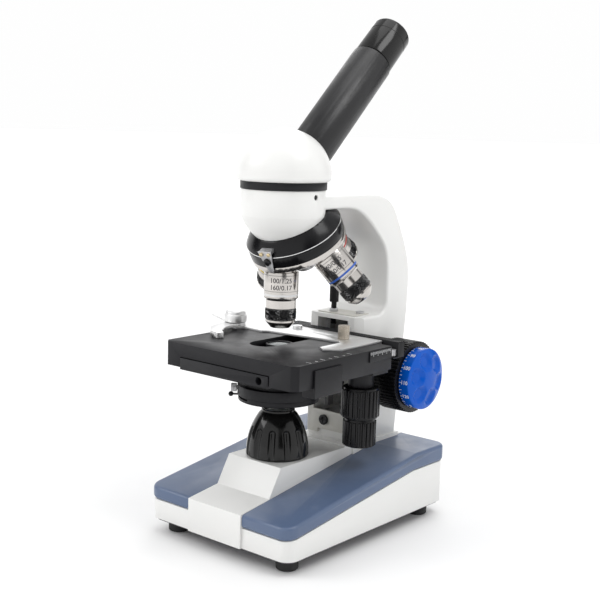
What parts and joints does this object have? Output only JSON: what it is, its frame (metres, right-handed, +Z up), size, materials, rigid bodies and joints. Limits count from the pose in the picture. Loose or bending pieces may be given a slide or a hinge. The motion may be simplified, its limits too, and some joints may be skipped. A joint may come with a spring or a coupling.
{
  "type": "microscope",
  "caption": "Upright single-eyepiece laboratory microscope with a turning nosepiece, cross-travel stage, condenser and lamp on a blue and white stand.",
  "frame": {"origin": "middle of the footprint on the bench, under the four rubber feet", "axes": "+Z up, -Y towards the front of the stand, +X to the right of someone facing the front"},
  "size_m": [0.154, 0.1914, 0.3676],
  "materials": {
    "white_paint": "gloss",
    "blue_paint": "satin",
    "dark_plate": "satin",
    "black_rubber": "matte",
    "black_metal": "satin",
    "black_plastic": "satin",
    "gloss_black": "gloss",
    "blue_plastic": "gloss",
    "chrome": "polished",
    "steel": "satin",
    "aluminium": "satin",
    "brass": "satin",
    "glass": "polished",
    "board": "satin"
  },
  "bodies": {
    "root": {"base_body": "white_paint", "base_cover_left": "blue_paint", "base_cover_right": "blue_paint", "bottom_plate": "dark_plate", "rubber_feet": "black_rubber", "machine_screws": "steel", "arm": "white_paint", "column_plate": "white_paint", "guide_cap": "black_metal", "focus_bearings": "brass", "nosepiece_body": "black_metal", "turret_axle": "steel", "click_spring": "steel", "lamp_housing": "gloss_black", "lamp_lens": "glass", "circuit_boards": "board", "power_socket": "black_plastic"},
    "focus_stage": {"focus_carriage": "steel", "steel_racks": "steel", "stage_carrier": "black_metal", "condenser_mount": "black_metal", "condenser_screw": "steel", "condenser_barrel": "black_metal", "condenser_lenses": "glass", "iris_cover": "black_metal"},
    "stage_top": {"stage_plate": "black_metal", "stage_scales": "black_metal", "x_rail": "black_metal"},
    "holder": {"slide_holder": "aluminium", "x_rack": "steel", "holder_fittings": "brass", "clip_spring": "steel"},
    "lever": {"clip_lever": "aluminium"},
    "upper_knob": {"y_knob": "black_plastic"},
    "lower_knob": {"x_knob": "black_plastic"},
    "coarse": {"coarse_shaft": "steel", "coarse_knobs": "black_plastic"},
    "fine": {"fine_shaft": "steel", "fine_knobs": "blue_plastic"},
    "turret": {"turret_disc": "chrome", "turret_grip": "black_plastic", "objective_barrels": "chrome", "objective_grips": "black_plastic", "objective_lenses": "glass"},
    "head": {"head_dome": "white_paint", "head_ring": "black_metal", "eyepiece_tube": "black_metal", "prism": "glass"},
    "eyepiece": {"eyepiece_barrel": "gloss_black", "eyepiece_lenses": "glass"},
    "stop": {"stop_screw": "black_metal"},
    "rocker": {"power_rocker": "black_plastic"},
    "dimmer": {"dimmer_wheel": "black_plastic"},
    "iris": {"iris_ring": "black_metal"},
    "iris_leaf_1": {"iris_leaf_1": "black_metal"},
    "iris_leaf_2": {"iris_leaf_2": "black_metal"},
    "iris_leaf_3": {"iris_leaf_3": "black_metal"},
    "iris_leaf_4": {"iris_leaf_4": "black_metal"},
    "iris_leaf_5": {"iris_leaf_5": "black_metal"},
    "iris_leaf_6": {"iris_leaf_6": "black_metal"}
  },
  "joints": [
    {"name": "focus_travel", "type": "slide", "parent": "root", "child": "focus_stage", "axis": [0, 0, 1], "range_m": [-0.0045, 0.0082]},
    {"name": "stage_y", "type": "slide", "parent": "focus_stage", "child": "stage_top", "axis": [0, 1, 0], "range_m": [-0.017, 0.0015]},
    {"name": "stage_x", "type": "slide", "parent": "stage_top", "child": "holder", "axis": [1, 0, 0], "range_m": [-0.019, 0.019]},
    {"name": "clip_swing", "type": "hinge", "parent": "holder", "child": "lever", "pos_m": [-0.05098, -0.01741, 0.141], "axis": [0, 0, -1], "range_deg": [0, 35], "stiffness_Nm_per_rad": 0.02},
    {"name": "upper_knob_turn", "type": "hinge", "parent": "stage_top", "child": "upper_knob", "pos_m": [0.04952, 0.00559, 0.095], "axis": [0, 0, 1], "range_deg": [-125, 15]},
    {"name": "lower_knob_turn", "type": "hinge", "parent": "stage_top", "child": "lower_knob", "pos_m": [0.04952, 0.00559, 0.072], "axis": [0, 0, 1], "range_deg": [-138, 138]},
    {"name": "coarse_turn", "type": "hinge", "parent": "root", "child": "coarse", "pos_m": [0.00602, 0.05259, 0.1091], "axis": [-1, 0, 0], "range_deg": [-48, 86]},
    {"name": "fine_turn", "type": "hinge", "parent": "root", "child": "fine", "pos_m": [0.00602, 0.05259, 0.1091], "axis": [-1, 0, 0], "continuous": true},
    {"name": "turret_turn", "type": "hinge", "parent": "root", "child": "turret", "pos_m": [0.00602, -0.03241, 0.2355], "axis": [0, 0.5, -0.866], "continuous": true},
    {"name": "head_turn", "type": "hinge", "parent": "root", "child": "head", "pos_m": [0.00602, -0.03241, 0.247], "axis": [0, 0, 1], "continuous": true},
    {"name": "eyepiece_lift", "type": "slide", "parent": "head", "child": "eyepiece", "axis": [0, 0.7242, 0.6896], "range_m": [0, 0.036]},
    {"name": "stop_turn", "type": "hinge", "parent": "root", "child": "stop", "pos_m": [-0.00098, 0.03609, 0.16], "axis": [0, 0, 1], "continuous": true},
    {"name": "switch_rock", "type": "hinge", "parent": "root", "child": "rocker", "pos_m": [0.04627, 0.08319, 0.026], "axis": [1, 0, 0], "range_deg": [-7, 7]},
    {"name": "dimmer_turn", "type": "hinge", "parent": "root", "child": "dimmer", "pos_m": [-0.05268, 0.02759, 0.025], "axis": [0, 0, 1], "range_deg": [0, 270]},
    {"name": "iris_turn", "type": "hinge", "parent": "focus_stage", "child": "iris", "pos_m": [0.00602, -0.03241, 0.1], "axis": [0, 0, 1], "range_deg": [-22, 0]},
    {"name": "leaf_1_turn", "type": "hinge", "parent": "focus_stage", "child": "iris_leaf_1", "pos_m": [0.02552, -0.03241, 0.0985], "axis": [0, 0, -1], "range_deg": [-23, 1]},
    {"name": "leaf_2_turn", "type": "hinge", "parent": "focus_stage", "child": "iris_leaf_2", "pos_m": [0.01577, -0.01552, 0.0985], "axis": [0, 0, -1], "range_deg": [-23, 1]},
    {"name": "leaf_3_turn", "type": "hinge", "parent": "focus_stage", "child": "iris_leaf_3", "pos_m": [-0.00373, -0.01552, 0.0985], "axis": [0, 0, -1], "range_deg": [-23, 1]},
    {"name": "leaf_4_turn", "type": "hinge", "parent": "focus_stage", "child": "iris_leaf_4", "pos_m": [-0.01348, -0.03241, 0.0985], "axis": [0, 0, -1], "range_deg": [-23, 1]},
    {"name": "leaf_5_turn", "type": "hinge", "parent": "focus_stage", "child": "iris_leaf_5", "pos_m": [-0.00373, -0.0493, 0.0985], "axis": [0, 0, -1], "range_deg": [-23, 1]},
    {"name": "leaf_6_turn", "type": "hinge", "parent": "focus_stage", "child": "iris_leaf_6", "pos_m": [0.01577, -0.0493, 0.0985], "axis": [0, 0, -1], "range_deg": [-23, 1]}
  ],
  "couplings": [
    {"joint": "coarse_turn", "follows": "focus_travel", "rad_per_m": 178.57},
    {"joint": "upper_knob_turn", "follows": "stage_y", "rad_per_m": 125},
    {"joint": "lower_knob_turn", "follows": "stage_x", "rad_per_m": -125},
    {"joint": "leaf_1_turn", "follows": "iris_turn", "ratio": 1},
    {"joint": "leaf_2_turn", "follows": "iris_turn", "ratio": 1},
    {"joint": "leaf_3_turn", "follows": "iris_turn", "ratio": 1},
    {"joint": "leaf_4_turn", "follows": "iris_turn", "ratio": 1},
    {"joint": "leaf_5_turn", "follows": "iris_turn", "ratio": 1},
    {"joint": "leaf_6_turn", "follows": "iris_turn", "ratio": 1}
  ]
}
